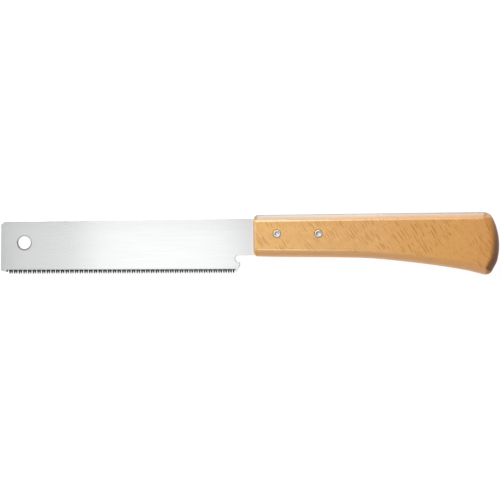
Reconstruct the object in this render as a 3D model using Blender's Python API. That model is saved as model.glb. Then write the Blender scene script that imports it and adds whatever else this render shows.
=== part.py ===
"""Small fine-tooth hand saw: a toothed steel blade whose tang is riveted into a kerf in a hardwood handle.

The saw lies on its broad side. +X runs from the blade's toe to the handle's butt, +Y points to the blade's
back edge and +Z points up. The origin is under the middle of the saw's box, on the surface it lies on.

Outlines are drawn in saw coordinates: u runs along the blade's back from the toe, and v is the height above
the back edge, so that the teeth are at negative v. All sizes are in metres.
"""

import math

import bmesh
import bpy
from mathutils import Vector

MM = 0.001

# Whole saw
OVERALL_LENGTH = 300.0 * MM
HANDLE_THICKNESS = 18.0 * MM
MID_HEIGHT = HANDLE_THICKNESS / 2

# Blade
BLADE_THICKNESS = 0.6 * MM
TOE_TOP = (0.5 * MM, 0.0)
TOE_CHAMFER = 1.8 * MM
TOE_CORNER = (0.0, -30.35 * MM)
TOE_CORNER_RADIUS = 0.8 * MM
TOE_LAND_END = (4.3 * MM, -31.4 * MM)
HANG_HOLE_CENTRE = (15.1 * MM, -13.5 * MM)
HANG_HOLE_DIAMETER = 8.0 * MM
NECK_BOTTOM = -22.2 * MM
TANG_END = 204.7 * MM
TANG_CORNER = 2.0 * MM
TANG_HOLE_DIAMETER = 3.9 * MM
BODY_ABOVE_TEETH = -28.0 * MM
BLADE_FACE_WIDTH = 25.0 * MM

# Teeth: narrow gullets ground at an angle across the edge, and a third bevel down to every point
TOOTH_PITCH = 1.4712 * MM
TOOTH_COUNT = 95
FIRST_GULLET = 4.99 * MM
ROOT_LINE_START = -29.85 * MM
ROOT_LINE_SLOPE = -0.0031
TOOTH_DEPTH = 2.7 * MM
SHOULDER_DEPTH = 1.9 * MM
FLANK_LEAN = 0.21
GRIND_ANGLE = math.radians(18.0)

# Heel and relief notch between the teeth and the neck
HEEL_TIP = (145.7 * MM, -32.3 * MM)
HEEL_CORNER = (148.7 * MM, -26.9 * MM)
NOTCH_CENTRE = (147.05 * MM, -24.2 * MM)
NOTCH_RADIUS = 1.95 * MM
HEEL_CORNER_RADIUS = 1.5 * MM

# Handle outline
HANDLE_FRONT = 157.05 * MM
TOP_EDGE_FRONT = (HANDLE_FRONT, 1.49 * MM)
TOP_EDGE_REAR = (290.0 * MM, 1.7 * MM)
LOWER_EDGE_KNOTS = (
    (HANDLE_FRONT, -22.95 * MM),
    (170.0 * MM, -23.3 * MM),
    (190.0 * MM, -23.6 * MM),
    (210.0 * MM, -24.0 * MM),
    (224.6 * MM, -24.5 * MM),
    (238.6 * MM, -25.8 * MM),
    (252.5 * MM, -27.45 * MM),
    (266.35 * MM, -29.4 * MM),
    (280.1 * MM, -31.75 * MM),
    (289.0 * MM, -33.95 * MM),
)
BUTT_RADIUS = 36.67 * MM
BUTT_CENTRE = (OVERALL_LENGTH - BUTT_RADIUS, -17.39 * MM)
BUTT_TURN_RADIUS = 10.0 * MM
BUTT_TURN_START = math.radians(-13.5)
BUTT_TURN_END = math.radians(-28.7)
FRONT_CORNER_RADIUS = 2.4 * MM
TOP_BUTT_RADIUS = 6.0 * MM
LOWER_BUTT_RADIUS = 4.2 * MM
SMALLEST_CORNER = 0.35 * MM

# Handle edges, kerf and counterbores
SIDE_ROUNDING = 4.25 * MM
BUTT_ROUNDING_STRETCH = 1.3
LOWER_ROUNDING_STRETCH = 1.14
FRONT_ROUNDING = 2.0 * MM
ROUNDING_FULLNESS = 1.5
ROUNDING_STEPS = 7
LOWER_EDGE_STEPS = 2
CORNER_STEPS = 6
TURN_STEPS = 3
BUTT_STEPS = 8
FRONT_STEPS = 4
KERF_WIDTH = 0.8 * MM
KERF_END = 205.5 * MM
SHANK_HOLE_DIAMETER = 3.8 * MM
CLINCH_BORE_DIAMETER = 4.8 * MM
CLINCH_BORE_DEPTH = 0.9 * MM
HEAD_BORE_DIAMETER = 7.0 * MM
HEAD_BORE_DEPTH = 1.5 * MM

# Rivets
RIVET_PLACES = {
    "rivet_front": (171.2 * MM, -9.7 * MM),
    "rivet_rear": (195.65 * MM, -9.9 * MM),
}
SHANK_DIAMETER = 3.6 * MM
HEAD_DIAMETER = 6.5 * MM
HEAD_THICKNESS = 1.2 * MM
HEAD_CHAMFER = 0.4 * MM
HEAD_RECESS = 0.2 * MM
CLINCH_DIAMETER = 4.6 * MM
CLINCH_RECESS = 0.1 * MM
CLINCH_GAP = 0.05 * MM
RIVET_HOLE_DIAMETER = 2.2 * MM
RIVET_HOLE_DEPTH = 1.0 * MM

SEGMENTS = 32
CUT_MARGIN = 2.0 * MM


# ---------------------------------------------------------------- plane geometry


def arc(centre, radius, start, end, steps):
    """Points on an arc from angle start to angle end, both ends included."""
    return [
        (
            centre[0] + radius * math.cos(start + (end - start) * i / steps),
            centre[1] + radius * math.sin(start + (end - start) * i / steps),
        )
        for i in range(steps + 1)
    ]


def fillet(before, corner, after, radius, steps):
    """The arc of a given radius that rounds the corner between two straight lines."""
    a = (Vector(before) - Vector(corner)).normalized()
    b = (Vector(after) - Vector(corner)).normalized()
    half = a.angle(b) / 2
    centre = Vector(corner) + (a + b).normalized() * (radius / math.sin(half))
    first = Vector(corner) + a * (radius / math.tan(half)) - centre
    last = Vector(corner) + b * (radius / math.tan(half)) - centre
    turn = last.angle_signed(first)
    start = math.atan2(first.y, first.x)
    return arc(centre, radius, start, start + turn, steps)


def point_at(start, end, u):
    """The point of a straight line at a given u."""
    share = (u - start[0]) / (end[0] - start[0])
    return (u, start[1] + (end[1] - start[1]) * share)


def lines_meet(point, direction, other, other_direction):
    """Where two straight lines cross."""
    across = Vector((-other_direction.y, other_direction.x))
    gap = (Vector(other) - Vector(point)).dot(across)
    return Vector(point) + direction * (gap / direction.dot(across))


def polar(centre, radius, angle):
    """The point at an angle on a circle."""
    return Vector((centre[0] + radius * math.cos(angle), centre[1] + radius * math.sin(angle)))


def line_meets_circle(point, direction, centre, radius):
    """Where a line leaves a circle, going along its direction."""
    to_centre = Vector(centre) - Vector(point)
    along = to_centre.dot(direction)
    off = to_centre.length_squared - along * along
    return Vector(point) + direction * (along + math.sqrt(radius * radius - off))


def smooth_curve(knots, steps):
    """A cubic curve v(u) through the knots: points and slopes, steps to each span."""
    last = len(knots) - 1
    slopes = []
    for i in range(len(knots)):
        before = knots[max(i - 1, 0)]
        after = knots[min(i + 1, last)]
        slopes.append((after[1] - before[1]) / (after[0] - before[0]))
    points = []
    for i in range(last):
        width = knots[i + 1][0] - knots[i][0]
        for k in range(steps + (i == last - 1)):
            t = k / steps
            v = (
                (2 * t**3 - 3 * t**2 + 1) * knots[i][1]
                + (t**3 - 2 * t**2 + t) * width * slopes[i]
                + (3 * t**2 - 2 * t**3) * knots[i + 1][1]
                + (t**3 - t**2) * width * slopes[i + 1]
            )
            points.append((knots[i][0] + t * width, v))
    return points


def offset_curve(points, distance):
    """The curve moved sideways, to the left of its direction."""
    moved = []
    for i, point in enumerate(points):
        before = Vector(points[max(i - 1, 0)])
        after = Vector(points[min(i + 1, len(points) - 1)])
        along = (after - before).normalized()
        moved.append((point[0] - along.y * distance, point[1] + along.x * distance))
    return moved


# ---------------------------------------------------------------- meshes and objects


def row_point(u, v, z):
    """A point in saw coordinates, moved to the row's frame."""
    return Vector((u - OVERALL_LENGTH / 2, v - MID_V, z))


def solid_from_layers(layers):
    """A closed mesh from rings of points, each ring as long as the next, the lowest ring first."""
    mesh = bmesh.new()
    rings = [[mesh.verts.new(point) for point in ring] for ring in layers]
    for lower, upper in zip(rings, rings[1:]):
        for i in range(len(lower)):
            k = (i + 1) % len(lower)
            mesh.faces.new((lower[i], lower[k], upper[k], upper[i]))
    mesh.faces.new(list(reversed(rings[0])))
    mesh.faces.new(rings[-1])
    bmesh.ops.recalc_face_normals(mesh, faces=mesh.faces)
    return mesh


def lathe(profile, segments):
    """A closed mesh turned round Z from (radius, height) points. The first and last point are on the axis."""
    mesh = bmesh.new()
    ends = [mesh.verts.new((0, 0, profile[i][1])) for i in (0, -1)]
    rings = []
    for radius, height in profile[1:-1]:
        ring = []
        for i in range(segments):
            angle = math.tau * i / segments
            ring.append(mesh.verts.new((radius * math.cos(angle), radius * math.sin(angle), height)))
        rings.append(ring)
    for i in range(segments):
        k = (i + 1) % segments
        mesh.faces.new((ends[0], rings[0][k], rings[0][i]))
        mesh.faces.new((ends[1], rings[-1][i], rings[-1][k]))
        for lower, upper in zip(rings, rings[1:]):
            mesh.faces.new((lower[i], lower[k], upper[k], upper[i]))
    bmesh.ops.recalc_face_normals(mesh, faces=mesh.faces)
    return mesh


def new_object(name, mesh, material=None, smooth_angle=math.radians(30)):
    data = bpy.data.meshes.new(name)
    mesh.to_mesh(data)
    mesh.free()
    data.shade_smooth()
    data.set_sharp_from_angle(angle=smooth_angle)
    if material:
        data.materials.append(material)
    thing = bpy.data.objects.new(name, data)
    bpy.context.collection.objects.link(thing)
    return thing


def cutter(name, mesh):
    thing = new_object(name, mesh)
    thing.hide_render = True
    thing.display_type = "WIRE"
    return thing


def cylinder_cutter(name, place, diameter, low, high):
    """A cutter for a round hole along Z at a (u, v) place."""
    radius = diameter / 2
    thing = cutter(name, lathe([(0, low), (radius, low), (radius, high), (0, high)], SEGMENTS))
    thing.location = row_point(*place, 0)
    return thing


def cut(thing, tool):
    modifier = thing.modifiers.new(tool.name, "BOOLEAN")
    modifier.operation = "DIFFERENCE"
    modifier.solver = "EXACT"
    modifier.object = tool


def material(name, colour, roughness, metallic):
    made = bpy.data.materials.new(name)
    made.use_nodes = True
    shader = made.node_tree.nodes["Principled BSDF"]
    shader.inputs["Base Color"].default_value = (*colour, 1.0)
    shader.inputs["Roughness"].default_value = roughness
    shader.inputs["Metallic"].default_value = metallic
    made.diffuse_color = (*colour, 1.0)
    return made


# ---------------------------------------------------------------- handle


def handle_outline(inset, front_inset):
    """The handle's outline, counter-clockwise, moved in on the long edges and at the front.

    The butt is a wide arc that turns into a straight run towards the lower corner. It moves in a little
    further than the lower edge does, and the lower edge a little further than the upper one.
    """
    front = HANDLE_FRONT + front_inset
    butt_inset = inset * BUTT_ROUNDING_STRETCH
    butt_radius = BUTT_RADIUS - butt_inset
    turn_radius = BUTT_TURN_RADIUS - butt_inset
    front_radius = max(FRONT_CORNER_RADIUS - front_inset, SMALLEST_CORNER)
    lower_radius = max(LOWER_BUTT_RADIUS - butt_inset, SMALLEST_CORNER)
    upper_radius = max(TOP_BUTT_RADIUS - butt_inset, SMALLEST_CORNER)

    lower_inset = inset * LOWER_ROUNDING_STRETCH
    lower = offset_curve(smooth_curve(LOWER_EDGE_KNOTS, LOWER_EDGE_STEPS), lower_inset)
    lower_direction = Vector(lower[-1]) - Vector(lower[-2])
    turn_centre = polar(BUTT_CENTRE, BUTT_RADIUS - BUTT_TURN_RADIUS, BUTT_TURN_START)
    run_top = polar(turn_centre, turn_radius, BUTT_TURN_END)
    run_direction = Vector((math.sin(BUTT_TURN_END), -math.cos(BUTT_TURN_END)))
    corner = lines_meet(lower[-1], lower_direction, run_top, run_direction)
    lower_corner = fillet(lower[-1], corner, run_top, lower_radius, CORNER_STEPS)
    turn = arc(turn_centre, turn_radius, BUTT_TURN_END, BUTT_TURN_START, TURN_STEPS)

    top_front, top_rear = offset_curve([TOP_EDGE_FRONT, TOP_EDGE_REAR], -inset)
    along = (Vector(top_rear) - Vector(top_front)).normalized()
    inward = Vector((along.y, -along.x))
    centre = line_meets_circle(
        Vector(top_rear) + inward * upper_radius, along, BUTT_CENTRE, butt_radius - upper_radius
    )
    outward = centre - Vector(BUTT_CENTRE)
    butt_high = math.atan2(outward.y, outward.x)
    edge_angle = math.atan2(-inward.y, -inward.x)
    upper_corner = arc(centre, upper_radius, butt_high, edge_angle, CORNER_STEPS)
    butt = arc(BUTT_CENTRE, butt_radius, BUTT_TURN_START, 0, BUTT_STEPS // 2)[1:]
    butt += arc(BUTT_CENTRE, butt_radius, 0, butt_high, BUTT_STEPS)[1:-1]

    high_corner = point_at(top_front, top_rear, front)
    low_corner = point_at(lower[0], lower[1], front)
    front_top = fillet(upper_corner[-1], high_corner, low_corner, front_radius, FRONT_STEPS)
    front_low = fillet(high_corner, low_corner, lower[1], front_radius, FRONT_STEPS)
    return front_low + lower[1:] + lower_corner + turn + butt + upper_corner + front_top


def rounding(depth, radius):
    """How far an edge has moved in at a depth below the broad face: a softened bevel."""
    if depth >= radius:
        return 0.0
    height = 1 - depth / radius
    return radius * (1 - (1 - height**ROUNDING_FULLNESS) ** (1 / ROUNDING_FULLNESS))


def handle_mesh():
    """The blank: rings of the outline, moved in near both broad faces to round every edge."""
    quarter = [math.radians(90) * i / ROUNDING_STEPS for i in range(ROUNDING_STEPS + 1)]
    depths = [SIDE_ROUNDING * (1 - abs(math.cos(angle)) ** (2 / ROUNDING_FULLNESS)) for angle in quarter]
    low_half = []
    high_half = []
    for depth in depths:
        outline = handle_outline(rounding(depth, SIDE_ROUNDING), rounding(depth, FRONT_ROUNDING))
        low_half.append([row_point(u, v, depth) for u, v in outline])
        high_half.append([row_point(u, v, HANDLE_THICKNESS - depth) for u, v in outline])
    return solid_from_layers(low_half + high_half[::-1])


def kerf_mesh():
    """The slot for the tang, open at the handle's front and along both of its edges."""
    low = LOWER_EDGE_KNOTS[0][1] - 10 * CUT_MARGIN
    high = 10 * CUT_MARGIN
    start = HANDLE_FRONT - CUT_MARGIN
    ring = [(start, low), (KERF_END, low), (KERF_END, high), (start, high)]
    heights = (MID_HEIGHT - KERF_WIDTH / 2, MID_HEIGHT + KERF_WIDTH / 2)
    return solid_from_layers([[row_point(u, v, z) for u, v in ring] for z in heights])


def stepped_bore_mesh():
    """A rivet's hole: the shank's bore with a counterbore at the head below and the rolled end above."""
    shank = SHANK_HOLE_DIAMETER / 2
    head = HEAD_BORE_DIAMETER / 2
    clinch = CLINCH_BORE_DIAMETER / 2
    clinch_floor = HANDLE_THICKNESS - CLINCH_BORE_DEPTH
    top = HANDLE_THICKNESS + CUT_MARGIN
    profile = [
        (0, -CUT_MARGIN),
        (head, -CUT_MARGIN),
        (head, HEAD_BORE_DEPTH),
        (shank, HEAD_BORE_DEPTH),
        (shank, clinch_floor),
        (clinch, clinch_floor),
        (clinch, top),
        (0, top),
    ]
    return lathe(profile, SEGMENTS)


def make_handle():
    handle = new_object("handle", handle_mesh(), material("beech", (0.70, 0.43, 0.20), 0.45, 0.0))
    cut(handle, cutter("kerf_cutter", kerf_mesh()))
    for name, place in RIVET_PLACES.items():
        bore = cutter(name + "_bore_cutter", stepped_bore_mesh())
        bore.location = row_point(*place, 0)
        cut(handle, bore)


# ---------------------------------------------------------------- blade


def tooth_row(face):
    """Points, gullets and shoulders from toe to heel, on the upper face (1) or the lower face (-1).

    Each gullet is a narrow V ground across the edge at the grind angle, tilted one way and then the other,
    so it is shifted along the row by opposite amounts on the two faces. A third bevel runs from each tooth's
    shoulder down to its point, which is at the side nearer the heel.
    """
    shift = math.tan(GRIND_ANGLE) * BLADE_THICKNESS / 2
    points = []
    for i in range(TOOTH_COUNT + 1):
        root_u = FIRST_GULLET + i * TOOTH_PITCH
        root_v = ROOT_LINE_START + ROOT_LINE_SLOPE * (root_u - FIRST_GULLET)
        gullet_u = root_u + face * (-1) ** i * shift
        if i > 0:
            points.append((gullet_u - FLANK_LEAN * TOOTH_DEPTH, root_v - TOOTH_DEPTH))
        points.append((gullet_u, root_v))
        if i < TOOTH_COUNT:
            points.append((gullet_u + FLANK_LEAN * SHOULDER_DEPTH, root_v - SHOULDER_DEPTH))
    return points


def blade_outline(face):
    """The blade and its tang on one face, counter-clockwise from the toe."""
    toe = [(TOE_TOP[0] + TOE_CHAMFER, 0), (TOE_TOP[0], -TOE_CHAMFER)]
    toe += fillet(toe[-1], TOE_CORNER, TOE_LAND_END, TOE_CORNER_RADIUS, 4) + [TOE_LAND_END]
    notch = arc(NOTCH_CENTRE, NOTCH_RADIUS, math.radians(-90), math.radians(-270), 12)
    heel = [HEEL_TIP] + fillet(HEEL_TIP, HEEL_CORNER, notch[0], HEEL_CORNER_RADIUS, 5)
    tang = [
        (TANG_END - TANG_CORNER, NECK_BOTTOM),
        (TANG_END, NECK_BOTTOM + TANG_CORNER),
        (TANG_END, -TANG_CORNER),
        (TANG_END - TANG_CORNER, 0),
    ]
    return toe + tooth_row(face) + heel + notch + tang


def blade_mesh():
    """The blank with its teeth, its flat faces divided at the handle's front and above the teeth."""
    low = [row_point(u, v, MID_HEIGHT - BLADE_THICKNESS / 2) for u, v in blade_outline(-1)]
    high = [row_point(u, v, MID_HEIGHT + BLADE_THICKNESS / 2) for u, v in blade_outline(1)]
    mesh = solid_from_layers([low, high])
    steps = round(HANDLE_FRONT / BLADE_FACE_WIDTH)
    planes = [((HANDLE_FRONT * i / steps, 0), (1, 0, 0)) for i in range(1, steps + 1)]
    planes.append(((0, BODY_ABOVE_TEETH), (0, 1, 0)))
    for place, normal in planes:
        parts = mesh.verts[:] + mesh.edges[:] + mesh.faces[:]
        bmesh.ops.bisect_plane(mesh, geom=parts, plane_co=row_point(*place, 0), plane_no=normal)
    return mesh


def make_blade():
    blade = new_object("blade", blade_mesh(), material("spring_steel", (0.62, 0.63, 0.64), 0.32, 1.0))
    low = MID_HEIGHT - CUT_MARGIN
    high = MID_HEIGHT + CUT_MARGIN
    cut(blade, cylinder_cutter("hang_hole_cutter", HANG_HOLE_CENTRE, HANG_HOLE_DIAMETER, low, high))
    for name, place in RIVET_PLACES.items():
        cut(blade, cylinder_cutter(name + "_tang_cutter", place, TANG_HOLE_DIAMETER, low, high))


# ---------------------------------------------------------------- rivets


def rivet_mesh():
    """A semi-tubular rivet: flat head below, solid shank, and a hollow end rolled outwards above."""
    shank = SHANK_DIAMETER / 2
    head = HEAD_DIAMETER / 2
    head_top = HEAD_RECESS + HEAD_THICKNESS
    hole = RIVET_HOLE_DIAMETER / 2
    clinch = CLINCH_DIAMETER / 2
    clinch_low = HANDLE_THICKNESS - CLINCH_BORE_DEPTH + CLINCH_GAP
    roll = (clinch - hole) / 2
    roll_centre = (hole + roll, HANDLE_THICKNESS - CLINCH_RECESS - roll)
    profile = [
        (0, HEAD_RECESS),
        (head - HEAD_CHAMFER, HEAD_RECESS),
        (head, HEAD_RECESS + HEAD_CHAMFER),
        (head, head_top),
        (shank, head_top),
        (shank, clinch_low),
        (clinch - roll / 3, clinch_low),
    ]
    profile += arc(roll_centre, roll, 0, math.pi, 6)
    profile += [
        (hole, HANDLE_THICKNESS - RIVET_HOLE_DEPTH),
        (0, HANDLE_THICKNESS - RIVET_HOLE_DEPTH),
    ]
    return lathe(profile, SEGMENTS)


def make_rivets():
    aluminium = material("aluminium", (0.78, 0.78, 0.78), 0.35, 1.0)
    for name, place in RIVET_PLACES.items():
        rivet = new_object(name, rivet_mesh(), aluminium)
        rivet.location = row_point(*place, 0)


# ---------------------------------------------------------------- the saw

RIM_HEIGHTS = [v for _, v in handle_outline(0, 0)]
MID_V = (min(RIM_HEIGHTS) + max(RIM_HEIGHTS)) / 2

for old in list(bpy.data.objects):
    bpy.data.objects.remove(old, do_unlink=True)

make_blade()
make_handle()
make_rivets()
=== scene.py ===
"""Looks of the small fine-tooth hand saw: brushed blade, lacquered beech handle and two rolled rivets."""
import math

import bmesh
import bpy
from mathutils import Matrix, Vector


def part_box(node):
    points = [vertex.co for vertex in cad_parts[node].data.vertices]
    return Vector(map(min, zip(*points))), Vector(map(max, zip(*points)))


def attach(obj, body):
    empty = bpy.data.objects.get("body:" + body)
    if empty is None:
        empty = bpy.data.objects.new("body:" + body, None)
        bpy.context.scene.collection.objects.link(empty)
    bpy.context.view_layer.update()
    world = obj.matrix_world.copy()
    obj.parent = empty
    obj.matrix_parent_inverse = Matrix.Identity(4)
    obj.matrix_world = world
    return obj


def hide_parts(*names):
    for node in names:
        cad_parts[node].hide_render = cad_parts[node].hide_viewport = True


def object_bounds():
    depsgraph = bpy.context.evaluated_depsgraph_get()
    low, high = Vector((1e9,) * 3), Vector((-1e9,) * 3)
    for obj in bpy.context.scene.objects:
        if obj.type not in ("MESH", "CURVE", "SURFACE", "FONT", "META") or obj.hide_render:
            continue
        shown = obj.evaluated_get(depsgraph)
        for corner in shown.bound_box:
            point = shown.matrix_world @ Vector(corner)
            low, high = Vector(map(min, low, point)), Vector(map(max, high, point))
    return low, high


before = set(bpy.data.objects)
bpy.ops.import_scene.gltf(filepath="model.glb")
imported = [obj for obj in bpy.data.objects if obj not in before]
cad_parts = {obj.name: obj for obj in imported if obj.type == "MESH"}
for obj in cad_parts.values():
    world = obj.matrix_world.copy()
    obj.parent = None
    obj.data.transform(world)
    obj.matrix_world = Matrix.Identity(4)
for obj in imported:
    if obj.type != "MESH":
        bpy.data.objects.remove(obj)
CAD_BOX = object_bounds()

MM = 0.001

# ---------------------------------------------------------------- places read from the frame

BLADE_LOW, BLADE_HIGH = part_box("blade")
HANDLE_LOW, HANDLE_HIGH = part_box("handle")
TOE_X = BLADE_LOW.x
BACK_Y = BLADE_HIGH.y
BLADE_Z = (BLADE_LOW.z + BLADE_HIGH.z) / 2
BLADE_HALF = (BLADE_HIGH.z - BLADE_LOW.z) / 2
HANDLE_TOP_Z = HANDLE_HIGH.z
HANDLE_FRONT = HANDLE_LOW.x - TOE_X
BUTT_END = HANDLE_HIGH.x - TOE_X
TANG_END = BLADE_HIGH.x - TOE_X
RIVETS = ("rivet_front", "rivet_rear")


def middle(node):
    low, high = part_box(node)
    return (low + high) / 2


def at(u, v, z):
    """A point given along the back from the toe, above the back edge, and by its height in the frame."""
    return Vector((TOE_X + u, BACK_Y + v, z))


# ---------------------------------------------------------------- sizes of the shapes

TOE_TOP = (0.5 * MM, 0.0)
TOE_CHAMFER = 1.8 * MM
TOE_CORNER = (0.0, -30.35 * MM)
TOE_CORNER_RADIUS = 0.8 * MM
TOE_LAND_END = (4.3 * MM, -31.4 * MM)
HANG_HOLE = (15.1 * MM, -13.5 * MM)
HANG_HOLE_RADIUS = 3.98 * MM
HANG_HOLE_CHAMFER = 0.12 * MM
NECK_BOTTOM = -22.2 * MM
TANG_CORNER = 2.0 * MM
TANG_HOLE_RADIUS = 1.95 * MM
TANG_HOLE_CHAMFER = 0.05 * MM
# The blade's faces meet its sides in steps this far in and this far from the face.
EDGE_INSETS = (0.36 * MM, 0.12 * MM, 0.0)
EDGE_DROPS = (0.0, 0.035 * MM, 0.11 * MM)

TOOTH_PITCH = 1.4712 * MM
TOOTH_COUNT = 95
FIRST_GULLET = 4.99 * MM
ROOT_LINE_START = -29.85 * MM
ROOT_LINE_SLOPE = -0.0031
TOOTH_DEPTH = 2.7 * MM
SHOULDER_DEPTH = 1.9 * MM
FLANK_LEAN = 0.21
GRIND_ANGLE = math.radians(18.0)
HEEL_TIP = (145.7 * MM, -32.3 * MM)
HEEL_CORNER = (148.7 * MM, -26.9 * MM)
HEEL_CORNER_RADIUS = 1.5 * MM
NOTCH_CENTRE = (147.05 * MM, -24.2 * MM)
NOTCH_RADIUS = 1.95 * MM

TOP_EDGE_FRONT = (HANDLE_FRONT, 1.49 * MM)
TOP_EDGE_REAR = (290.0 * MM, 1.7 * MM)
LOWER_EDGE_KNOTS = (
    (HANDLE_FRONT, -22.95 * MM),
    (170.0 * MM, -23.3 * MM),
    (190.0 * MM, -23.6 * MM),
    (210.0 * MM, -24.0 * MM),
    (224.6 * MM, -24.5 * MM),
    (238.6 * MM, -25.8 * MM),
    (252.5 * MM, -27.45 * MM),
    (266.35 * MM, -29.4 * MM),
    (280.1 * MM, -31.75 * MM),
    (289.0 * MM, -33.95 * MM),
)
BUTT_RADIUS = 36.67 * MM
BUTT_CENTRE = (BUTT_END - BUTT_RADIUS, -17.39 * MM)
BUTT_TURN_RADIUS = 10.0 * MM
BUTT_TURN_START = math.radians(-13.5)
BUTT_TURN_END = math.radians(-28.7)
FRONT_CORNER_RADIUS = 2.4 * MM
TOP_BUTT_RADIUS = 6.0 * MM
LOWER_BUTT_RADIUS = 4.2 * MM
SMALLEST_CORNER = 0.35 * MM
SIDE_ROUNDING = 4.25 * MM
BUTT_ROUNDING_STRETCH = 1.3
LOWER_ROUNDING_STRETCH = 1.14
FRONT_ROUNDING = 2.0 * MM
ROUNDING_FULLNESS = 1.5
ROUNDING_STEPS = 14
SUPPORT_LOOP = 0.25 * MM
KERF_WIDTH = 0.8 * MM
KERF_END = 205.5 * MM

SHANK_HOLE_RADIUS = 1.9 * MM
CLINCH_BORE_RADIUS = 2.4 * MM
CLINCH_BORE_DEPTH = 0.9 * MM
HEAD_BORE_RADIUS = 3.5 * MM
HEAD_BORE_DEPTH = 1.5 * MM
BORE_LIP = 0.15 * MM

SHANK_RADIUS = 1.8 * MM
HEAD_RADIUS = 3.25 * MM
HEAD_EDGE_RADIUS = 0.4 * MM
HEAD_TOP = 1.4 * MM
HEAD_RECESS = 0.2 * MM
CLINCH_RADIUS = 2.3 * MM
CLINCH_RECESS = 0.1 * MM
CLINCH_GAP = 0.05 * MM
ROLL_START = math.radians(-20)
ROLL_FLATNESS = 0.6
RIVET_HOLE_RADIUS = 1.1 * MM
RIVET_HOLE_DEPTH = 0.9 * MM
RIVET_HOLE_FLOOR_RADIUS = 0.35 * MM

# Edges that turn by less than this many degrees are shaded smooth.
BLADE_SMOOTH_BELOW = 4
HANDLE_SMOOTH_BELOW = 35
RIVET_SMOOTH_BELOW = 40

CUT_MARGIN = 2.0 * MM


# ---------------------------------------------------------------- plane geometry


def arc(centre, radius, start, end, steps):
    """Points on an arc from angle start to angle end, both ends included."""
    return [
        (
            centre[0] + radius * math.cos(start + (end - start) * i / steps),
            centre[1] + radius * math.sin(start + (end - start) * i / steps),
        )
        for i in range(steps + 1)
    ]


def fillet(before, corner, after, radius, steps):
    """The arc of a given radius that rounds the corner between two straight lines."""
    a = (Vector(before) - Vector(corner)).normalized()
    b = (Vector(after) - Vector(corner)).normalized()
    half = a.angle(b) / 2
    centre = Vector(corner) + (a + b).normalized() * (radius / math.sin(half))
    first = Vector(corner) + a * (radius / math.tan(half)) - centre
    last = Vector(corner) + b * (radius / math.tan(half)) - centre
    turn = last.angle_signed(first)
    start = math.atan2(first.y, first.x)
    return arc(centre, radius, start, start + turn, steps)


def point_at(start, end, u):
    """The point of a straight line at a given u."""
    share = (u - start[0]) / (end[0] - start[0])
    return (u, start[1] + (end[1] - start[1]) * share)


def lines_meet(point, direction, other, other_direction):
    """Where two straight lines cross."""
    across = Vector((-other_direction.y, other_direction.x))
    gap = (Vector(other) - Vector(point)).dot(across)
    return Vector(point) + direction * (gap / direction.dot(across))


def polar(centre, radius, angle):
    """The point at an angle on a circle."""
    return Vector((centre[0] + radius * math.cos(angle), centre[1] + radius * math.sin(angle)))


def line_meets_circle(point, direction, centre, radius):
    """Where a line leaves a circle, going along its direction."""
    to_centre = Vector(centre) - Vector(point)
    along = to_centre.dot(direction)
    off = to_centre.length_squared - along * along
    return Vector(point) + direction * (along + math.sqrt(radius * radius - off))


def smooth_curve(knots, steps):
    """A cubic curve v(u) through the knots: points and slopes, steps to each span."""
    last = len(knots) - 1
    slopes = []
    for i in range(len(knots)):
        before = knots[max(i - 1, 0)]
        after = knots[min(i + 1, last)]
        slopes.append((after[1] - before[1]) / (after[0] - before[0]))
    points = []
    for i in range(last):
        width = knots[i + 1][0] - knots[i][0]
        for k in range(steps + (i == last - 1)):
            t = k / steps
            v = (
                (2 * t**3 - 3 * t**2 + 1) * knots[i][1]
                + (t**3 - 2 * t**2 + t) * width * slopes[i]
                + (3 * t**2 - 2 * t**3) * knots[i + 1][1]
                + (t**3 - t**2) * width * slopes[i + 1]
            )
            points.append((knots[i][0] + t * width, v))
    return points


def offset_curve(points, distance):
    """The curve moved sideways, to the left of its direction."""
    moved = []
    for i, point in enumerate(points):
        before = Vector(points[max(i - 1, 0)])
        after = Vector(points[min(i + 1, len(points) - 1)])
        along = (after - before).normalized()
        moved.append((point[0] - along.y * distance, point[1] + along.x * distance))
    return moved


# ---------------------------------------------------------------- meshes and objects


def solid_from_layers(layers):
    """A closed mesh from rings of points, each ring as long as the next, the lowest ring first."""
    mesh = bmesh.new()
    rings = [[mesh.verts.new(point) for point in ring] for ring in layers]
    for lower, upper in zip(rings, rings[1:]):
        for i in range(len(lower)):
            k = (i + 1) % len(lower)
            mesh.faces.new((lower[i], lower[k], upper[k], upper[i]))
    mesh.faces.new(list(reversed(rings[0])))
    mesh.faces.new(rings[-1])
    bmesh.ops.recalc_face_normals(mesh, faces=mesh.faces)
    return mesh


def lathe(profile, segments):
    """A closed mesh turned round Z from (radius, height) points that start and end on the axis."""
    mesh = bmesh.new()
    ends = [mesh.verts.new((0, 0, profile[i][1])) for i in (0, -1)]
    rings = []
    for radius, height in profile[1:-1]:
        ring = []
        for i in range(segments):
            angle = math.tau * i / segments
            ring.append(mesh.verts.new((radius * math.cos(angle), radius * math.sin(angle), height)))
        rings.append(ring)
    for i in range(segments):
        k = (i + 1) % segments
        mesh.faces.new((ends[0], rings[0][k], rings[0][i]))
        mesh.faces.new((ends[1], rings[-1][i], rings[-1][k]))
        for lower, upper in zip(rings, rings[1:]):
            mesh.faces.new((lower[i], lower[k], upper[k], upper[i]))
    bmesh.ops.recalc_face_normals(mesh, faces=mesh.faces)
    return mesh


def new_object(name, mesh, place=(0, 0, 0)):
    """An object at the origin, with its mesh moved to its place in the frame."""
    data = bpy.data.meshes.new(name)
    bmesh.ops.translate(mesh, verts=mesh.verts, vec=place)
    mesh.to_mesh(data)
    mesh.free()
    thing = bpy.data.objects.new(name, data)
    bpy.context.scene.collection.objects.link(thing)
    return thing


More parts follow.
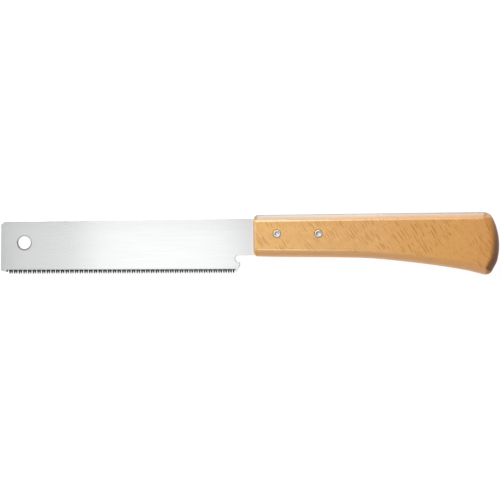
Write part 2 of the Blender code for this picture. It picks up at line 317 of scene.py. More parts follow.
def cut(thing, tools):
    """Cuts each tool out of the mesh for good, and removes the tools."""
    for tool in tools:
        modifier = thing.modifiers.new(tool.name, "BOOLEAN")
        modifier.operation = "DIFFERENCE"
        modifier.solver = "EXACT"
        modifier.object = tool
    evaluated = thing.evaluated_get(bpy.context.evaluated_depsgraph_get())
    data = bpy.data.meshes.new_from_object(evaluated)
    thing.modifiers.clear()
    thing.data = data
    for tool in tools:
        bpy.data.objects.remove(tool, do_unlink=True)


def smooth_below(thing, degrees):
    thing.data.shade_smooth()
    thing.data.set_sharp_from_angle(angle=math.radians(degrees))


def dress(thing, node, material):
    """Stands the piece in for its CAD node and gives it its material."""
    thing.data.materials.clear()
    thing.data.materials.append(material)
    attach(thing, "root")
    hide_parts(node)


# ---------------------------------------------------------------- node helpers


class Nodes:
    """A node tree, with short names for the nodes that the looks are made from."""

    def __init__(self, tree):
        self.tree = tree

    def node(self, kind, **settings):
        made = self.tree.nodes.new(kind)
        for key, value in settings.items():
            setattr(made, key, value)
        return made

    def put(self, socket, value):
        """Links a socket to another, or gives it a constant."""
        if isinstance(value, bpy.types.NodeSocket):
            self.tree.links.new(value, socket)
        else:
            socket.default_value = value

    def math(self, operation, a, b=0.0, c=0.0):
        made = self.node("ShaderNodeMath", operation=operation)
        for socket, value in zip(made.inputs, (a, b, c)):
            self.put(socket, value)
        return made.outputs[0]

    def add(self, a, b):
        return self.math("ADD", a, b)

    def times(self, a, b):
        return self.math("MULTIPLY", a, b)

    def ramp(self, value, start, end, at_start=0.0, at_end=1.0, curve="SMOOTHSTEP"):
        """Goes from one value at the start of a range to another at its end, and stays level outside it."""
        made = self.node("ShaderNodeMapRange", interpolation_type=curve)
        self.put(made.inputs["Value"], value)
        self.put(made.inputs["From Min"], start)
        self.put(made.inputs["From Max"], end)
        self.put(made.inputs["To Min"], at_start)
        self.put(made.inputs["To Max"], at_end)
        return made.outputs["Result"]

    def vector(self, operation, a, b=(0.0, 0.0, 0.0)):
        made = self.node("ShaderNodeVectorMath", operation=operation)
        self.put(made.inputs[0], a)
        self.put(made.inputs[1], b)
        return made.outputs["Value"] if operation == "DOT_PRODUCT" else made.outputs["Vector"]

    def split(self, vector):
        made = self.node("ShaderNodeSeparateXYZ")
        self.put(made.inputs[0], vector)
        return made.outputs

    def join(self, x, y, z):
        made = self.node("ShaderNodeCombineXYZ")
        for socket, value in zip(made.inputs, (x, y, z)):
            self.put(socket, value)
        return made.outputs[0]


class Shader(Nodes):
    """A material made from one Principled shader."""

    def __init__(self, name):
        self.material = bpy.data.materials.new(name)
        self.material.use_nodes = True
        super().__init__(self.material.node_tree)
        self.surface = self.tree.nodes["Principled BSDF"]

    def set(self, **inputs):
        """Values or links for the Principled shader, with underscores for the spaces of the names."""
        for name, value in inputs.items():
            self.put(self.surface.inputs[name.replace("_", " ")], value)

    def millimetres(self):
        """The surface point in the shared frame, in millimetres."""
        place = self.node("ShaderNodeTexCoord").outputs["Object"]
        return self.vector("MULTIPLY", place, (1 / MM, 1 / MM, 1 / MM))

    def noise(self, vector, scale=1.0, detail=2.0, roughness=0.5):
        made = self.node("ShaderNodeTexNoise")
        self.put(made.inputs["Vector"], vector)
        made.inputs["Scale"].default_value = scale
        made.inputs["Detail"].default_value = detail
        made.inputs["Roughness"].default_value = roughness
        return made.outputs["Fac"]

    def stretched_noise(self, place, per_mm, **settings):
        """Noise with its own number of cells per millimetre along each axis."""
        return self.noise(self.vector("MULTIPLY", place, per_mm), **settings)

    def mix(self, share, a, b):
        """A colour that goes from a to b as the share goes from 0 to 1."""
        made = self.node("ShaderNodeMix", data_type="RGBA")
        self.put(made.inputs["Factor"], share)
        colours = [s for s in made.inputs if s.type == "RGBA"]
        for socket, value in zip(colours, (a, b)):
            self.put(socket, value if isinstance(value, bpy.types.NodeSocket) else (*value, 1.0))
        return next(s for s in made.outputs if s.type == "RGBA")

    def bump(self, height, distance_mm, strength, normal=None):
        made = self.node("ShaderNodeBump")
        made.inputs["Strength"].default_value = strength
        made.inputs["Distance"].default_value = distance_mm * MM
        self.put(made.inputs["Height"], height)
        if normal:
            self.put(made.inputs["Normal"], normal)
        return made.outputs["Normal"]


def flecks(shader, place, slant, cell, size, share):
    """Separate short streaks, 0 to 1: at most one to a cell, in a share of the cells.

    slant is the streaks' angle from X in the XY plane. cell is the length and width of a cell, and size the
    greatest reach of a streak from its middle along and across it, all in millimetres.
    """
    cell_length, cell_width = cell
    longest = size[0] / cell_length
    widest = size[1] / cell_width
    run = shader.vector("DOT_PRODUCT", place, (math.cos(slant), math.sin(slant), 0))
    side = shader.vector("DOT_PRODUCT", place, (-math.sin(slant), math.cos(slant), 0))
    deep = shader.split(place)[2]
    grid = shader.join(
        shader.times(run, 1 / cell_length),
        shader.times(side, 1 / cell_width),
        shader.times(deep, 1 / cell_length),
    )
    cells = shader.node("ShaderNodeTexVoronoi", feature="F1")
    cells.inputs["Scale"].default_value = 1.0
    shader.put(cells.inputs["Vector"], grid)
    away = shader.split(shader.vector("SUBTRACT", grid, cells.outputs["Position"]))
    pick = shader.split(cells.outputs["Color"])
    length = shader.math("MULTIPLY_ADD", pick[1], (1 - SHORTEST) * longest, SHORTEST * longest)
    width = shader.math("MULTIPLY_ADD", pick[2], (1 - NARROWEST) * widest, NARROWEST * widest)
    run_part = shader.math("DIVIDE", shader.math("ABSOLUTE", away[0]), length)
    side_part = shader.math("DIVIDE", shader.math("ABSOLUTE", away[1]), width)
    from_middle = shader.add(shader.math("POWER", run_part, 3.0), shader.math("POWER", side_part, 2.0))
    body = shader.ramp(from_middle, 0.15, 0.9, 1.0, 0.0)
    chosen = shader.ramp(pick[0], 1 - share - 0.02, 1 - share + 0.02)
    return shader.times(body, chosen)


# ---------------------------------------------------------------- colours and places of the materials

BEECH_PALE = (0.545, 0.294, 0.060)
BEECH_DEEP = (0.500, 0.252, 0.042)
BEECH_REAR = (0.485, 0.212, 0.038)
BEECH_BY_THE_BUTT = (0.450, 0.170, 0.044)
RING_BROWN = (0.44, 0.205, 0.055)
MOTTLE_BROWN = (0.43, 0.200, 0.052)
VESSEL_BROWN = (0.33, 0.150, 0.050)
RAY_PALE = (0.74, 0.46, 0.16)
RAY_BROWN = (0.365, 0.145, 0.006)
DASH_BROWN = (0.26, 0.115, 0.038)
# End grain, darkened beyond its own colour as painted shade where the butt faces away from the lights.
END_GRAIN_AND_SHADE_PALE = (0.165, 0.070, 0.034)
END_GRAIN_AND_SHADE_DARK = (0.115, 0.048, 0.026)
END_GRAIN_AND_SHADE_PORE = (0.20, 0.088, 0.030)
# Painted shade on the handle's upper edge and on its outermost line.
TOP_EDGE_SHADE = (0.12, 0.070, 0.032)
TOP_LINE_SHADE = (0.06, 0.040, 0.022)
# Painted shade on the handle's lower edge: darker and warmer than the beech.
LOWER_EDGE_SHADE_AMBER = (0.52, 0.21, 0.030)

STEEL_LINE = (0.650, 0.652, 0.654)
STEEL_GROUND = (0.595, 0.598, 0.602)
STEEL_CLOUD = (0.580, 0.584, 0.590)
STEEL_BLUED = (0.46, 0.46, 0.49)
STEEL_HARDENED = (0.022, 0.022, 0.026)
# Painted shade round the hang hole.
STEEL_HOLE_SHADE = (0.10, 0.10, 0.105)
# Painted warm reflection of the handle's lit front on the steel just before it.
STEEL_WARM_REFLECTION = (0.76, 0.63, 0.52)

ALUMINIUM_PALE = (0.52, 0.475, 0.440)
ALUMINIUM_DEEP = (0.46, 0.420, 0.390)
# Painted light: the hollow's grey is paler than the rim to lift the shade inside it.
ALUMINIUM_HOLLOW_LIT = (0.55, 0.51, 0.47)
ALUMINIUM_STAIN = (0.47, 0.45, 0.43)

# Streaks of the wood. Their reach along and across goes down to these shares of the greatest.
SHORTEST = 0.3
NARROWEST = 0.5
RAY_SLANT = math.radians(-58)
LONG_RAYS = {"cell": (8.0, 1.7), "size": (5.2, 0.56), "share": 0.62}
SHORT_RAYS = {"cell": (4.5, 1.4), "size": (2.3, 0.40), "share": 0.45}
PALE_RAYS = {"cell": (7.0, 2.6), "size": (2.6, 0.40), "share": 0.30}
DASHES = {"cell": (3.4, 0.9), "size": (1.8, 0.22), "share": 0.60}
# End grain, deepened into painted shade, shows where the butt faces this way, away from the lights.
END_GRAIN_AND_SHADE_FACING = (0.75, -0.66, 0.0)

# Ranges over which the steel changes, in millimetres. The first two are above the line of the gullets, and
# the others past the first gullet, past the heel's tip, outside the hang hole's edge, across the hole from
# its centre, and past the handle's front.
BLUED_BAND = (0.05, 0.9)
HARDENED_BAND = (-0.46, 0.10)
ROW_START = (-1.7, -0.9)
ROW_END = (-0.7, 0.0)
HOLE_SHADE_RING = (0.45, 0.90)
HOLE_SHADE_SIDE = (-4.5, 2.5)
WARM_REFLECTION_BAND = (-3.0, -1.7)
# The painted shade round the hole is darkest in this direction, given by its x and y.
HOLE_SHADE_WAY = (-0.20, -0.98)
# The rivets' finish changes over this range, in millimetres outside the edge of the hollow.
HOLLOW_EDGE = (-0.15, 0.10)


def shifted(limits, by):
    """A range in millimetres, moved by a length of the frame."""
    return (limits[0] + by / MM, limits[1] + by / MM)


# ---------------------------------------------------------------- materials


def lacquered_beech():
    """Warm beech under clear lacquer: slanting ray flecks on the broad faces, dashes along the grain on
    the long edges, and darker end grain at the butt and the front, deepened into painted shade where the
    butt faces away from the lights. It is redder towards the butt, has painted shade on the upper edge and
    its outermost line, and painted darker, warmer shade on the lower edge.
    """
    s = Shader("lacquered_beech")
    place = s.millimetres()
    x, y, z = s.split(place)
    normal = s.node("ShaderNodeNewGeometry").outputs["Normal"]
    normal_x, normal_y, normal_z = s.split(normal)
    facing = s.split(s.vector("ABSOLUTE", normal))
    broad = s.ramp(facing[2], 0.80, 0.96)
    # Painted shade: the butt turns to dark end grain where it faces away from the lights.
    butt = s.ramp(s.vector("DOT_PRODUCT", normal, END_GRAIN_AND_SHADE_FACING), 0.20, 0.48)
    butt = s.times(butt, s.ramp(normal_x, 0.15, 0.35))
    front = s.times(s.ramp(normal_x, -0.50, -0.85), 0.6)
    end = s.math("MAXIMUM", butt, front)
    long_edge = s.ramp(facing[1], 0.6, 0.85)

    drift = s.stretched_noise(place, (0.012, 0.09, 0.09), detail=3)
    colour = s.mix(s.ramp(drift, 0.32, 0.68), BEECH_PALE, BEECH_DEEP)
    colour = s.mix(s.ramp(x, -5.0, 125.0, 0.0, 0.65), colour, BEECH_REAR)
    colour = s.mix(s.ramp(x, 125.0, 147.0, 0.0, 0.40), colour, BEECH_BY_THE_BUTT)

    rings = s.ramp(s.stretched_noise(place, (0.006, 0.50, 0.50), detail=1), 0.42, 0.62)
    colour = s.mix(s.times(rings, 0.14), colour, RING_BROWN)
    mottle = s.ramp(s.stretched_noise(place, (0.22, 0.42, 0.42), detail=2), 0.35, 0.70)
    colour = s.mix(s.times(mottle, 0.16), colour, MOTTLE_BROWN)
    vessels = s.ramp(s.stretched_noise(place, (0.55, 6.5, 6.5), detail=2), 0.55, 0.72)
    colour = s.mix(s.times(vessels, 0.14), colour, VESSEL_BROWN)

    bend = s.noise(place, scale=0.06, detail=1)
    bent = s.vector("ADD", place, s.join(s.math("MULTIPLY_ADD", bend, 4.0, -2.0), 0.0, 0.0))
    crowd = s.ramp(s.stretched_noise(place, (0.045, 0.07, 0.07), detail=1), 0.30, 0.52)
    long_rays = s.times(flecks(s, bent, RAY_SLANT, **LONG_RAYS), crowd)
    short_rays = flecks(s, bent, RAY_SLANT, **SHORT_RAYS)
    pale_rays = flecks(s, bent, RAY_SLANT, **PALE_RAYS)
    rays = s.times(s.math("MAXIMUM", long_rays, s.times(short_rays, 0.55)), broad)
    dashes = s.times(flecks(s, s.join(x, z, y), 0.0, **DASHES), long_edge)
    colour = s.mix(s.times(s.times(pale_rays, broad), 0.26), colour, RAY_PALE)
    colour = s.mix(s.times(rays, 0.95), colour, RAY_BROWN)
    colour = s.mix(s.times(dashes, 0.55), colour, DASH_BROWN)

    arcs = s.ramp(s.stretched_noise(place, (0.05, 0.55, 0.22), detail=2), 0.40, 0.62)
    pores = s.ramp(s.stretched_noise(place, (0.8, 5.0, 5.0), detail=1), 0.52, 0.66)
    end_grain_and_shade = s.mix(s.times(arcs, 0.5), END_GRAIN_AND_SHADE_PALE, END_GRAIN_AND_SHADE_DARK)
    end_grain_and_shade = s.mix(s.times(pores, 0.35), end_grain_and_shade, END_GRAIN_AND_SHADE_PORE)
    # End grain at the front and the butt, with painted shade at the butt.
    colour = s.mix(s.times(end, 0.95), colour, end_grain_and_shade)

    # Painted shade on the upper edge, fading towards the butt, and darker still on its outermost line.
    top_edge_shade = s.times(s.ramp(normal_y, 0.34, 0.66), s.ramp(x, 10.0, 130.0, 0.62, 0.34))
    colour = s.mix(top_edge_shade, colour, TOP_EDGE_SHADE)
    top_line_shade = s.times(s.ramp(normal_y, 0.72, 0.90), s.ramp(normal_z, 0.0, 0.12, 0.30, 0.72))
    colour = s.mix(top_line_shade, colour, TOP_LINE_SHADE)
    # Painted shade: darker, warmer amber where the edge faces down.
    lower_edge_shade = s.ramp(normal_y, -0.62, -0.30, 0.5, 0.0)
    colour = s.mix(lower_edge_shade, colour, LOWER_EDGE_SHADE_AMBER)

    dents = s.add(s.times(vessels, -0.35), s.times(s.add(rays, dashes), -0.5))
    skin = s.noise(place, scale=0.35, detail=1)
    waves = s.bump(skin, 0.05, 0.25)
    grain = s.bump(dents, 0.02, 0.5, waves)
    s.set(
        Base_Color=colour,
        Roughness=s.math("MULTIPLY_ADD", drift, 0.16, 0.38),
        Normal=grain,
        Coat_Weight=1.0,
        Coat_Roughness=0.17,
        Coat_IOR=1.6,
    )
    return s.material


def brushed_steel():
    """Finely ground blade steel with lengthwise lines, a dark hardened band along the teeth, a dark rim of
    painted shade round the hang hole and a painted warm reflection of the handle on the steel in front of
    it.
    """
    s = Shader("ground_blade_steel")
    place = s.millimetres()
    x, y = s.split(place)[:2]
    lines = s.stretched_noise(place, (0.035, 8.0, 8.0), detail=3, roughness=0.6)
    clouds = s.stretched_noise(place, (0.020, 0.06, 0.06), detail=2)
    colour = s.mix(s.ramp(lines, 0.3, 0.7), STEEL_GROUND, STEEL_LINE)
    colour = s.mix(s.times(s.ramp(clouds, 0.35, 0.65), 0.25), colour, STEEL_CLOUD)

    root_y = (BACK_Y + ROOT_LINE_START - ROOT_LINE_SLOPE * (TOE_X + FIRST_GULLET)) / MM
    above = s.math("SUBTRACT", y, s.math("MULTIPLY_ADD", x, ROOT_LINE_SLOPE, root_y))
    blue = s.ramp(above, *BLUED_BAND, 1.0, 0.0)
    hard = s.ramp(above, *HARDENED_BAND, 1.0, 0.0)
    in_row = s.ramp(x, *shifted(ROW_START, TOE_X + FIRST_GULLET))
    in_row = s.times(in_row, s.ramp(x, *shifted(ROW_END, TOE_X + HEEL_TIP[0]), 1.0, 0.0))
    hard = s.times(hard, in_row)
    colour = s.mix(s.times(s.times(blue, in_row), 0.35), colour, STEEL_BLUED)
    colour = s.mix(hard, colour, STEEL_HARDENED)

    # Painted shade round the hang hole, darkest on one side.
    hole = at(*HANG_HOLE, 0) / MM
    away = s.split(s.vector("SUBTRACT", place, (hole.x, hole.y, 0)))
    from_hole = s.math("SQRT", s.add(s.times(away[0], away[0]), s.times(away[1], away[1])))
    rim = s.ramp(from_hole, *shifted(HOLE_SHADE_RING, HANG_HOLE_RADIUS), 1.0, 0.0)
    side = s.add(s.times(away[0], HOLE_SHADE_WAY[0]), s.times(away[1], HOLE_SHADE_WAY[1]))
    rim = s.times(rim, s.ramp(side, *HOLE_SHADE_SIDE, 0.35, 0.92))
    colour = s.mix(rim, colour, STEEL_HOLE_SHADE)

    # Painted reflection: warm light from the handle's front, laid on the steel in front of it.
    warm_reflection = s.ramp(x, *shifted(WARM_REFLECTION_BAND, TOE_X + HANDLE_FRONT))
    colour = s.mix(s.times(warm_reflection, 0.70), colour, STEEL_WARM_REFLECTION)

    rough = s.math("MULTIPLY_ADD", lines, 0.06, 0.135)
    rough = s.add(rough, s.times(clouds, 0.03))
    rough = s.add(rough, s.times(hard, 0.20))
    s.set(Base_Color=colour, Metallic=1.0, Roughness=rough, Normal=s.bump(lines, 0.002, 0.35))
    return s.material


def rolled_aluminium(name, centre):
    """Bright rolled rim with turning marks round the rivet's axis, and a dull grey hollow made paler as
    painted light against its shade.
    """
    s = Shader(name)
    place = s.millimetres()
    from_axis = s.vector("SUBTRACT", place, (centre.x / MM, centre.y / MM, 0))
    x, y, z = s.split(from_axis)
    radius = s.math("SQRT", s.add(s.times(x, x), s.times(y, y)))
    marks = s.noise(s.join(s.times(radius, 9.0), s.times(z, 3.0), 0.0), detail=2)
    stains = s.noise(from_axis, scale=1.3, detail=2)
    # The hollow is duller, and painted paler to lift its shade.
    hollow = s.ramp(radius, *shifted(HOLLOW_EDGE, RIVET_HOLE_RADIUS), 1.0, 0.0)
    colour = s.mix(s.ramp(marks, 0.35, 0.65), ALUMINIUM_PALE, ALUMINIUM_DEEP)
    colour = s.mix(s.times(hollow, 0.8), colour, ALUMINIUM_HOLLOW_LIT)
    colour = s.mix(s.times(s.ramp(stains, 0.5, 0.7), 0.3), colour, ALUMINIUM_STAIN)
    rough = s.math("MULTIPLY_ADD", hollow, 0.08, 0.52)
    s.set(Base_Color=colour, Metallic=1.0, Roughness=rough, Normal=s.bump(marks, 0.01, 0.3))
    return s.material


# ---------------------------------------------------------------- handle


def handle_outline(inset, front_inset):
    """The handle's outline, counter-clockwise, moved in on the long edges and at the front.

    The butt is a wide arc that turns into a straight run towards the lower corner. It moves in a little
    further than the lower edge does, and the lower edge a little further than the upper one.
    """
    front = HANDLE_FRONT + front_inset
    butt_inset = inset * BUTT_ROUNDING_STRETCH
    butt_radius = BUTT_RADIUS - butt_inset
    turn_radius = BUTT_TURN_RADIUS - butt_inset
    front_radius = max(FRONT_CORNER_RADIUS - front_inset, SMALLEST_CORNER)
    lower_radius = max(LOWER_BUTT_RADIUS - butt_inset, SMALLEST_CORNER)
    upper_radius = max(TOP_BUTT_RADIUS - butt_inset, SMALLEST_CORNER)

    lower = offset_curve(smooth_curve(LOWER_EDGE_KNOTS, steps=6), inset * LOWER_ROUNDING_STRETCH)
    lower_direction = Vector(lower[-1]) - Vector(lower[-2])
    turn_centre = polar(BUTT_CENTRE, BUTT_RADIUS - BUTT_TURN_RADIUS, BUTT_TURN_START)
    run_top = polar(turn_centre, turn_radius, BUTT_TURN_END)
    run_direction = Vector((math.sin(BUTT_TURN_END), -math.cos(BUTT_TURN_END)))
    corner = lines_meet(lower[-1], lower_direction, run_top, run_direction)
    lower_corner = fillet(lower[-1], corner, run_top, lower_radius, steps=16)
    turn = arc(turn_centre, turn_radius, BUTT_TURN_END, BUTT_TURN_START, steps=8)

    top_front, top_rear = offset_curve([TOP_EDGE_FRONT, TOP_EDGE_REAR], -inset)
    along = (Vector(top_rear) - Vector(top_front)).normalized()
    inward = Vector((along.y, -along.x))
    centre = line_meets_circle(
        Vector(top_rear) + inward * upper_radius, along, BUTT_CENTRE, butt_radius - upper_radius
    )
    outward = centre - Vector(BUTT_CENTRE)
    butt_high = math.atan2(outward.y, outward.x)
    edge_angle = math.atan2(-inward.y, -inward.x)
    upper_corner = arc(centre, upper_radius, butt_high, edge_angle, steps=16)
    butt = arc(BUTT_CENTRE, butt_radius, BUTT_TURN_START, 0, steps=10)[1:]
    butt += arc(BUTT_CENTRE, butt_radius, 0, butt_high, steps=16)[1:-1]

    high_corner = point_at(top_front, top_rear, front)
    low_corner = point_at(lower[0], lower[1], front)
    front_top = fillet(upper_corner[-1], high_corner, low_corner, front_radius, steps=10)
    front_low = fillet(high_corner, low_corner, lower[1], front_radius, steps=10)
    return front_low + lower[1:] + lower_corner + turn + butt + upper_corner + front_top


def rounding(depth, radius):
    """How far the outline moves in at a depth below the broad face: a softened bevel."""
    if depth >= radius:
        return 0.0
    height = 1 - depth / radius
    return radius * (1 - (1 - height**ROUNDING_FULLNESS) ** (1 / ROUNDING_FULLNESS))


def handle_blank():
    """Rings of the outline, moved in near both broad faces to round every edge.

    A ring just past each end of the rounding keeps the shading of the flat faces and walls true.
    """
    quarter = [math.radians(90) * i / ROUNDING_STEPS for i in range(ROUNDING_STEPS + 1)]
    depths = [SIDE_ROUNDING * (1 - abs(math.cos(angle)) ** (2 / ROUNDING_FULLNESS)) for angle in quarter]
    insets = [(depth, rounding(depth, SIDE_ROUNDING), rounding(depth, FRONT_ROUNDING)) for depth in depths]
    insets.insert(0, (0, SIDE_ROUNDING + SUPPORT_LOOP, FRONT_ROUNDING + SUPPORT_LOOP))
    insets.append((SIDE_ROUNDING + SUPPORT_LOOP, 0, 0))
    low_half = []
    high_half = []
    for depth, inset, front_inset in insets:
        outline = handle_outline(inset, front_inset)
        low_half.append([at(u, v, depth) for u, v in outline])
        high_half.append([at(u, v, HANDLE_TOP_Z - depth) for u, v in outline])
    return new_object("handle_beech", solid_from_layers(low_half + high_half[::-1]))


def kerf_cutter():
    """The slot for the tang, open at the handle's front and along both of its long edges."""
    low = LOWER_EDGE_KNOTS[0][1] - 10 * CUT_MARGIN
    high = 10 * CUT_MARGIN
    start = HANDLE_FRONT - CUT_MARGIN
    ring = [(start, low), (KERF_END, low), (KERF_END, high), (start, high)]
    heights = (BLADE_Z - KERF_WIDTH / 2, BLADE_Z + KERF_WIDTH / 2)
    return new_object("kerf", solid_from_layers([[at(u, v, z) for u, v in ring] for z in heights]))


def bore_cutter(rivet):
    """A rivet's hole, with a counterbore at each end and a softened lip where each meets the face."""
    clinch_floor = HANDLE_TOP_Z - CLINCH_BORE_DEPTH
    above = HANDLE_TOP_Z + CUT_MARGIN
    profile = [
        (0, -CUT_MARGIN),
        (HEAD_BORE_RADIUS + CUT_MARGIN + BORE_LIP, -CUT_MARGIN),
        (HEAD_BORE_RADIUS, BORE_LIP),
        (HEAD_BORE_RADIUS, HEAD_BORE_DEPTH),
        (SHANK_HOLE_RADIUS, HEAD_BORE_DEPTH),
        (SHANK_HOLE_RADIUS, clinch_floor),
        (CLINCH_BORE_RADIUS, clinch_floor),
        (CLINCH_BORE_RADIUS, HANDLE_TOP_Z - BORE_LIP),
        (CLINCH_BORE_RADIUS + CUT_MARGIN + BORE_LIP, above),
        (0, above),
    ]
    centre = middle(rivet)
    return new_object(rivet + "_bore", lathe(profile, segments=64), (centre.x, centre.y, 0))


def make_handle():
    handle = handle_blank()
    cut(handle, [kerf_cutter()] + [bore_cutter(rivet) for rivet in RIVETS])
    smooth_below(handle, HANDLE_SMOOTH_BELOW)
    dress(handle, "handle", lacquered_beech())


# ---------------------------------------------------------------- blade


def tooth_row(side):
    """Points, gullets and shoulders from toe to heel, from the blade's lower (-1) to its upper face (1).

    Each gullet is a narrow V ground across the edge at the grind angle, tilted one way and then the other,
    so it moves along the row in opposite directions through the blade's thickness. A third bevel runs from
    each tooth's shoulder down to its point, which is at the side nearer the heel.
    """
    shift = math.tan(GRIND_ANGLE) * BLADE_HALF
    points = []
    for i in range(TOOTH_COUNT + 1):
        root_u = FIRST_GULLET + i * TOOTH_PITCH
        root_v = ROOT_LINE_START + ROOT_LINE_SLOPE * (root_u - FIRST_GULLET)
        gullet_u = root_u + side * (-1) ** i * shift
        if i > 0:
            points.append((gullet_u - FLANK_LEAN * TOOTH_DEPTH, root_v - TOOTH_DEPTH))
        points.append((gullet_u, root_v))
        if i < TOOTH_COUNT:
            points.append((gullet_u + FLANK_LEAN * SHOULDER_DEPTH, root_v - SHOULDER_DEPTH))
    return points


def blade_ring(inset, height):
    """One ring of the blade: its outline at a height in the steel, moved in everywhere but at the teeth."""
    toe = [(TOE_TOP[0] + TOE_CHAMFER, 0), (TOE_TOP[0], -TOE_CHAMFER)]
    toe += fillet(toe[-1], TOE_CORNER, TOE_LAND_END, TOE_CORNER_RADIUS, steps=10)
    teeth = [TOE_LAND_END] + tooth_row(height / BLADE_HALF) + [HEEL_TIP]
    notch = arc(NOTCH_CENTRE, NOTCH_RADIUS, math.radians(-90), math.radians(-270), steps=40)
    heel = fillet(HEEL_TIP, HEEL_CORNER, notch[0], HEEL_CORNER_RADIUS, steps=12)
    tang = [
        (TANG_END - TANG_CORNER, NECK_BOTTOM),
        (TANG_END, NECK_BOTTOM + TANG_CORNER),
        (TANG_END, -TANG_CORNER),
        (TANG_END - TANG_CORNER, 0),
    ]
    points = [Vector(p) for p in toe + teeth + heel + notch + tang]
    fixed = range(len(toe), len(toe) + len(teeth))
    moved = []
    for i, point in enumerate(points):
        if i in fixed:
            moved.append(point)
            continue
        before = (point - points[i - 1]).normalized()
        after = (points[(i + 1) % len(points)] - point).normalized()
        left = Vector((-before.y - after.y, before.x + after.x))
        moved.append(point + left * (inset / (1 + before.dot(after))))
    return [at(u, v, BLADE_Z + height) for u, v in moved]


def hole_cutter(name, centre, radius, chamfer):
    """A round hole through the blade with a chamfer at 45 degrees on both faces."""
    low = BLADE_LOW.z
    high = BLADE_HIGH.z
    profile = [
        (0, low - CUT_MARGIN),
        (radius + chamfer + CUT_MARGIN, low - CUT_MARGIN),
        (radius, low + chamfer),
        (radius, high - chamfer),
        (radius + chamfer + CUT_MARGIN, high + CUT_MARGIN),
        (0, high + CUT_MARGIN),
    ]
    return new_object(name, lathe(profile, segments=96), (centre.x, centre.y, 0))


def make_blade():
    heights = [BLADE_HALF - drop for drop in EDGE_DROPS]
    rings = [blade_ring(inset, -height) for inset, height in zip(EDGE_INSETS, heights)]
    rings += [blade_ring(inset, height) for inset, height in zip(EDGE_INSETS, heights)][::-1]
    blade = new_object("blade_steel", solid_from_layers(rings))
    holes = [hole_cutter("hang_hole", at(*HANG_HOLE, 0), HANG_HOLE_RADIUS, HANG_HOLE_CHAMFER)]
    for rivet in RIVETS:
        holes.append(hole_cutter(rivet + "_tang", middle(rivet), TANG_HOLE_RADIUS, TANG_HOLE_CHAMFER))
    cut(blade, holes)
    smooth_below(blade, BLADE_SMOOTH_BELOW)
    dress(blade, "blade", brushed_steel())


# ---------------------------------------------------------------- rivets


def make_rivet(rivet):
    """Flat head below, solid shank, and a hollow end rolled outwards into a ring above."""
    centre = middle(rivet)
    roll = (CLINCH_RADIUS - RIVET_HOLE_RADIUS) / 2
    roll_top = HANDLE_TOP_Z - CLINCH_RECESS
    roll_centre = (RIVET_HOLE_RADIUS + roll, roll_top - roll)
    head_centre = (HEAD_RADIUS - HEAD_EDGE_RADIUS, HEAD_RECESS + HEAD_EDGE_RADIUS)
    hole_floor = HANDLE_TOP_Z - RIVET_HOLE_DEPTH
    floor_centre = (RIVET_HOLE_RADIUS - RIVET_HOLE_FLOOR_RADIUS, hole_floor + RIVET_HOLE_FLOOR_RADIUS)
    profile = [(0, HEAD_RECESS)]
    profile += arc(head_centre, HEAD_EDGE_RADIUS, -math.pi / 2, 0, steps=8)
    profile += [
        (HEAD_RADIUS, HEAD_TOP),
        (SHANK_RADIUS, HEAD_TOP),
        (SHANK_RADIUS, HANDLE_TOP_Z - CLINCH_BORE_DEPTH + CLINCH_GAP),
    ]
    dome = arc(roll_centre, roll, ROLL_START, math.pi, steps=24)
    profile += [(radius, roll_top - (roll_top - height) * ROLL_FLATNESS) for radius, height in dome]
    profile += arc(floor_centre, RIVET_HOLE_FLOOR_RADIUS, 0, -math.pi / 2, steps=6)
    profile += [(0, hole_floor)]
    piece = new_object(rivet + "_aluminium", lathe(profile, segments=96), (centre.x, centre.y, 0))
    smooth_below(piece, RIVET_SMOOTH_BELOW)
    dress(piece, rivet, rolled_aluminium(rivet + "_finish", centre))


# ---------------------------------------------------------------- stage, light and camera

# The floor reaches this far from its middle. It and the backdrop are in metres, the lens and the sensor in
# millimetres.
FLOOR_REACH = 12.0
FLOOR_GAP = 0.0002
FLOOR_GLOW = 0.95
BACKDROP_RADIUS = 11.0
BACKDROP_LOW = -0.5
BACKDROP_HIGH = 9.0
WHITE = (1.0, 1.0, 1.0, 1.0)
BLACK = (0.0, 0.0, 0.0, 1.0)
# Power of an area light for each unit of its area and its radiance.
LIGHT_POWER = 4
CAMERA_DISTANCE = 700 * MM
CAMERA_LEAN = math.radians(6.834)
CAMERA_ROLL = 0.00855
CAMERA_TARGET = (4.08 * MM, -2.71 * MM, BLADE_Z)
CAMERA_LENS = 84.28
CAMERA_SENSOR = 36.0
CAMERA_FAR = 100.0


def glow(thing, shader, **surface):
    """Gives a stage piece a dull glowing surface that only the camera sees."""
    shader.set(Roughness=1.0, Specular_IOR_Level=0.0, **surface)
    thing.data.materials.append(shader.material)
    thing.visible_diffuse = False
    thing.visible_glossy = False
    thing.visible_shadow = False


def make_floor():
    """A pale floor just under the saw."""
    mesh = bmesh.new()
    bmesh.ops.create_grid(mesh, x_segments=1, y_segments=1, size=FLOOR_REACH)
    floor = new_object("pale_floor", mesh, (0, 0, CAD_BOX[0].z - FLOOR_GAP))
    s = Shader("pale_floor")
    tint = s.noise(s.millimetres(), scale=0.01, detail=1)
    base = s.mix(tint, (0.075, 0.075, 0.075), (0.085, 0.085, 0.085))
    glow(floor, s, Base_Color=base, Emission_Color=WHITE, Emission_Strength=FLOOR_GLOW)


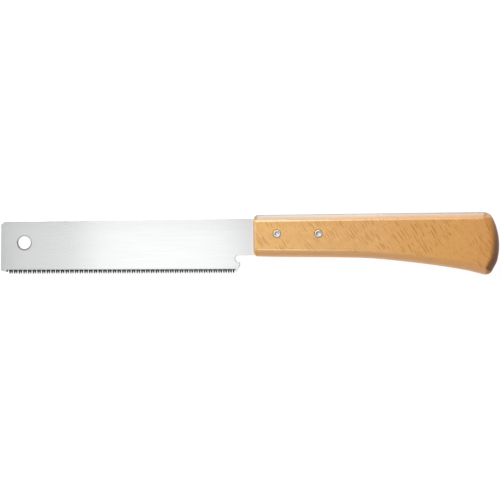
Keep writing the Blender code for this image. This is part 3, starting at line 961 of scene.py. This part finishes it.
def make_backdrop():
    """A pale wall round the stage, for views from low down."""
    low, high = (BACKDROP_LOW, BACKDROP_HIGH)
    profile = [(0, low), (BACKDROP_RADIUS, low), (BACKDROP_RADIUS, high), (0, high)]
    wall = new_object("pale_backdrop", lathe(profile, segments=64))
    s = Shader("pale_backdrop")
    tint = s.noise(s.millimetres(), scale=0.001, detail=1)
    pale = s.mix(tint, (0.90, 0.90, 0.90), (0.94, 0.94, 0.94))
    glow(wall, s, Base_Color=BLACK, Emission_Color=pale, Emission_Strength=1.0)


def softbox(name, place, target, width, height, radiance):
    """A rectangular area light that faces its target, in metres. Its power follows from its radiance."""
    data = bpy.data.lights.new(name, "AREA")
    data.shape = "RECTANGLE"
    data.size = width
    data.size_y = height
    data.energy = radiance * width * height * LIGHT_POWER
    lamp = bpy.data.objects.new(name, data)
    bpy.context.scene.collection.objects.link(lamp)
    lamp.location = place
    lamp.rotation_euler = (Vector(target) - Vector(place)).to_track_quat("-Z", "Y").to_euler()
    lamp.visible_camera = False


def make_lights():
    """Two soft panels over the blade that it mirrors, two keys from beyond its back edge and one highlight
    from the toothed side, and strips at the back, the toe, the front and the butt's two corners that the
    handle's lacquered edges and the steel mirror.
    """
    softbox("overhead_panel", (-0.1185, -0.01, 0.36), (-0.1185, -0.01, 0.0), 0.143, 0.22, 0.38)
    softbox("wide_overhead_panel", (-0.103, -0.10, 0.42), (-0.103, -0.10, 0.0), 0.385, 0.28, 0.545)
    softbox("key_toe", (-0.45, 0.60, 0.86), (-0.10, 0.0, 0.0), 1.00, 0.70, 3.2)
    softbox("key_whole", (-0.25, 0.62, 0.88), (-0.05, 0.0, 0.0), 1.10, 0.70, 1.75)
    softbox("back_strip", (-0.05, 0.90, -0.05), (-0.05, 0.0, -0.05), 0.24, 1.10, 3.0)
    softbox("back_strip_by_the_butt", (0.17, 0.90, -0.05), (0.17, 0.0, -0.05), 0.20, 1.10, 1.7)
    softbox("back_corner_strip", (0.77, 0.64, -0.02), (0.13, 0.0, -0.02), 0.45, 0.80, 1.1)
    softbox("front_corner_strip", (0.62, -0.70, 0.10), (0.13, 0.0, 0.0), 0.55, 0.70, 0.42)
    softbox("front_highlight", (-0.16, -0.62, 0.85), (-0.10, 0.0, 0.0), 0.30, 0.32, 4.8)
    softbox("toe_strip", (-1.10, 0.0, -0.05), (0.0, 0.0, -0.05), 0.90, 0.80, 1.5)
    softbox("front_strip", (-0.02, -0.90, 0.05), (-0.02, 0.0, 0.05), 0.36, 1.30, 0.70)


def make_world():
    """A studio that is brighter beyond the blade's back edge and dimmer beyond the butt.

    Below the horizon it stands in for the white table, which the saw's steep sides mirror.
    """
    world = bpy.data.worlds.new("studio")
    bpy.context.scene.world = world
    world.use_nodes = True
    sky = Nodes(world.node_tree)
    x, y, z = sky.split(sky.node("ShaderNodeTexCoord").outputs["Generated"])
    back = sky.ramp(y, -1.0, 1.0, 0.22, 0.60, curve="LINEAR")
    table = sky.ramp(z, 0.0, -0.15, 0.0, 0.55, curve="LINEAR")
    butt = sky.ramp(x, 0.0, 0.8, 1.0, 0.52, curve="LINEAR")
    background = sky.tree.nodes["Background"]
    sky.put(background.inputs["Color"], WHITE)
    sky.put(background.inputs["Strength"], sky.times(sky.add(back, table), butt))


def make_camera():
    """Looks at the saw from above and close by, leaning a little towards the handle and rolled a little."""
    away = Vector((math.sin(CAMERA_LEAN), 0.0, math.cos(CAMERA_LEAN)))
    turn = Matrix.Rotation(CAMERA_LEAN, 3, "Y") @ Matrix.Rotation(-CAMERA_ROLL, 3, "Z")
    data = bpy.data.cameras.new("camera")
    data.sensor_width = CAMERA_SENSOR
    data.lens = CAMERA_LENS
    data.clip_end = CAMERA_FAR
    camera = bpy.data.objects.new("camera", data)
    bpy.context.scene.collection.objects.link(camera)
    camera.location = Vector(CAMERA_TARGET) + away * CAMERA_DISTANCE
    camera.rotation_euler = turn.to_euler()
    bpy.context.scene.camera = camera


bpy.context.scene.view_settings.view_transform = "Standard"
make_blade()
make_handle()
for rivet_node in RIVETS:
    make_rivet(rivet_node)
make_floor()
make_backdrop()
make_lights()
make_world()
make_camera()
